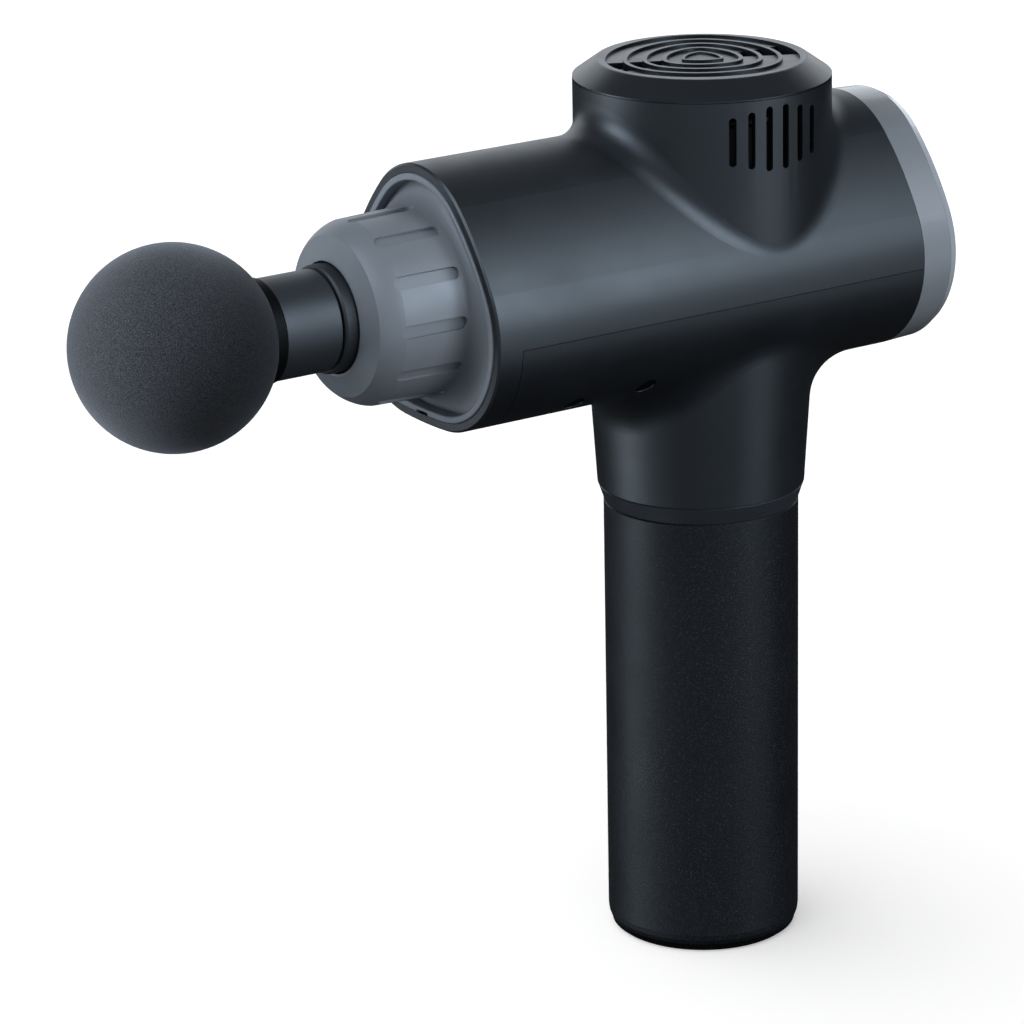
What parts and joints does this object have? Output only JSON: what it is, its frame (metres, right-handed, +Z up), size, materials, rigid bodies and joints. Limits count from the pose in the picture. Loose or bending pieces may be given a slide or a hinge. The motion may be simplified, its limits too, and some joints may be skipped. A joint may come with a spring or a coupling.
{
  "type": "massage gun",
  "caption": "Percussion massage gun with a round upright grip, a rounded-triangle barrel, a vented motor turret, a fluted nose collar and a foam ball head on a plunger.",
  "frame": {"origin": "middle of the grip's flat base, on the surface that it stands on", "axes": "+Z up along the grip; +X towards the rear cover, so the massage head points along -X; +Y to the side"},
  "size_m": [0.234, 0.0686, 0.2317],
  "materials": {
    "shell_black": "satin moulded plastic with a soft-touch coat",
    "cap_black": "satin moulded plastic",
    "collar_grey": "matte moulded elastomer",
    "trim_black": "satin moulded plastic",
    "grip_black": "fine matte speckled soft-touch coat",
    "base_gloss": "polished plastic",
    "socket_metal": "nickel plated",
    "inner_plastic": "moulded plastic",
    "cell_wrap": "shrink-wrapped can",
    "steel": "machined steel",
    "circuit_board": "solder-masked laminate",
    "seal_rubber": "matte rubber",
    "bush_white": "acetal",
    "cast_alloy": "cast and machined alloy",
    "laminated_steel": "coated steel laminations",
    "copper": "enamelled copper wire",
    "ring_grey": "satin painted plastic",
    "cover_silver": "silver painted plastic",
    "display_gloss": "smoked gloss plastic",
    "light_lens": "clear light guide",
    "button_black": "satin plastic",
    "magnet": "nickel plated magnet",
    "brass_weight": "turned brass",
    "rotor_black": "black oxide steel can",
    "fan_black": "moulded plastic",
    "plunger_black": "hard anodised sleeve",
    "stem_black": "satin acetal",
    "foam_charcoal": "dense closed-cell foam with a fine matte skin"
  },
  "bodies": {
    "housing": {"upper_shell": "shell_black", "lower_cover": "shell_black", "vent_cap": "cap_black", "nose_collar": "collar_grey", "neck_trim_ring": "trim_black", "grip_sleeve": "grip_black", "base_cap": "base_gloss", "charging_socket": "socket_metal", "handle_core": "inner_plastic", "battery_cells": "cell_wrap", "cell_holder_bottom": "inner_plastic", "cell_holder_top": "inner_plastic", "cell_straps": "steel", "battery_board": "circuit_board", "screw_plugs": "seal_rubber", "housing_screws": "steel", "guide_housing": "inner_plastic", "guide_screws": "steel", "front_bush": "bush_white", "rear_bush": "bush_white", "wiper_seal": "seal_rubber", "motor_bracket": "cast_alloy", "motor_dampers": "seal_rubber", "bracket_screws": "steel", "lower_bearing": "steel", "upper_bearing": "steel", "stator_core": "laminated_steel", "stator_windings": "copper", "rear_ring": "ring_grey", "rear_cover": "cover_silver", "display_panel": "display_gloss", "level_lights": "light_lens", "control_board": "circuit_board", "button_switch": "inner_plastic", "rear_screws": "steel"},
    "rotor": {"rotor_bell": "rotor_black", "rotor_magnets": "magnet", "motor_shaft": "steel", "cooling_fan": "fan_black", "crank_disc": "steel", "counterweight": "brass_weight", "crank_pin": "steel"},
    "plunger_unit": {"plunger": "plunger_black", "socket_liner": "seal_rubber", "wrist_pin": "steel"},
    "rod": {"connecting_rod": "cast_alloy", "big_end_bearing": "steel", "small_end_bush": "brass_weight"},
    "head": {"massage_ball": "foam_charcoal", "ball_core": "inner_plastic", "head_stem": "stem_black", "stem_o_rings": "seal_rubber"},
    "button": {"power_button": "button_black"}
  },
  "joints": [
    {"name": "motor_spin", "type": "hinge", "parent": "housing", "child": "rotor", "pos_m": [0, 0, 0.19], "axis": [0, 0, 1], "continuous": true},
    {"name": "plunger_slide", "type": "slide", "parent": "housing", "child": "plunger_unit", "axis": [1, 0, 0], "range_m": [0, 0.012]},
    {"name": "rod_swing", "type": "hinge", "parent": "plunger_unit", "child": "rod", "pos_m": [-0.058, 0, 0.1832], "axis": [0, 0, 1], "range_deg": [-6.6, 6.6]},
    {"name": "head_pull", "type": "slide", "parent": "plunger_unit", "child": "head", "axis": [-1, 0, 0], "range_m": [0, 0.03]},
    {"name": "power_button_press", "type": "slide", "parent": "housing", "child": "button", "axis": [-1, 0, 0], "range_m": [0, 0.0008], "stiffness_N_per_m": 1500, "springref_m": -0.0002}
  ]
}
